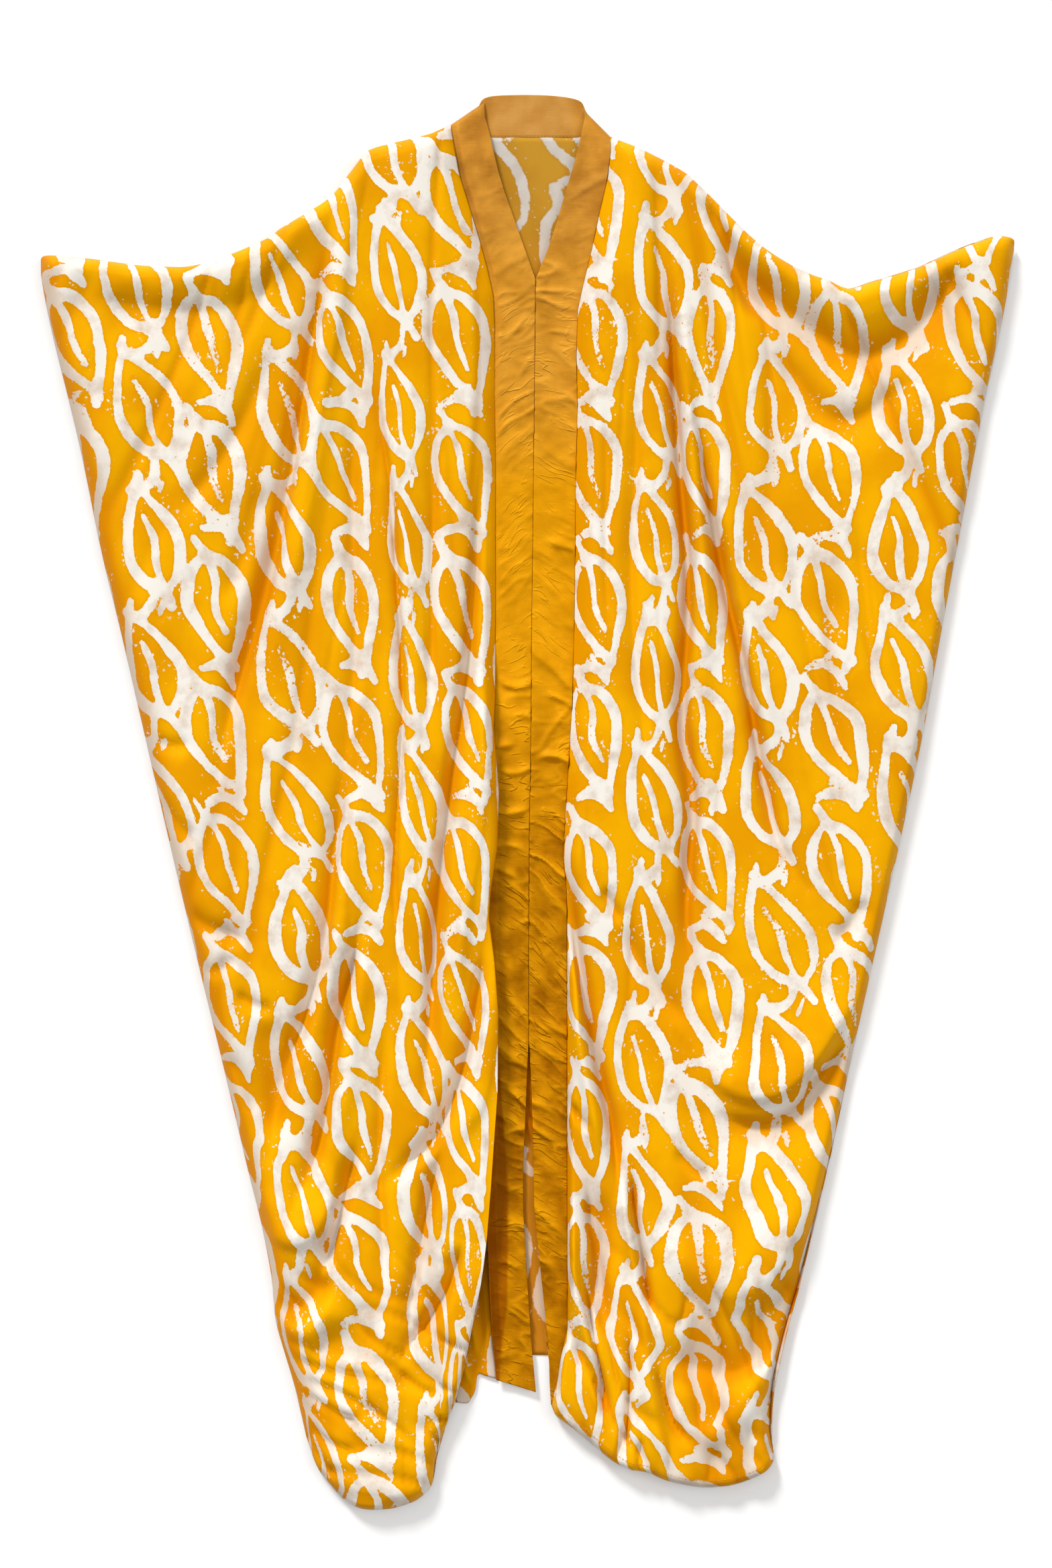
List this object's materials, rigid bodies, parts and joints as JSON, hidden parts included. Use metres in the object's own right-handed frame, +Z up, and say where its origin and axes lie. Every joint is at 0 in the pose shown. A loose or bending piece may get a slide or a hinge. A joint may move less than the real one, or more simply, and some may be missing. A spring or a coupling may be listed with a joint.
{
  "type": "kaftan",
  "caption": "Full-length open-front kaftan of printed cloth with wide cut-in-one sleeves and a plain satin neck band, laid flat with soft folds.",
  "frame": {"origin": "bottom centre of the bounding box: the middle of the garment as it lies, on the surface under the back", "axes": "+Z up from the surface the garment lies on; +Y along the garment's length towards the collar; +X across its width, towards the right when it is seen from above with the collar at the top"},
  "size_m": [1.0164, 1.4778, 0.0303],
  "materials": {
    "print_cloth": "mustard and warm white hand-brushed print on soft light cloth",
    "print_reverse": "the same cloth's paler reverse side",
    "satin": "plain gold satin with a soft sheen"
  },
  "bodies": {
    "root": {"back": "print_reverse", "front_left": "print_cloth", "front_right": "print_cloth", "front_left_turn": "print_cloth", "band_left": "satin", "band_right": "satin", "collar_back": "satin"}
  },
  "joints": []
}
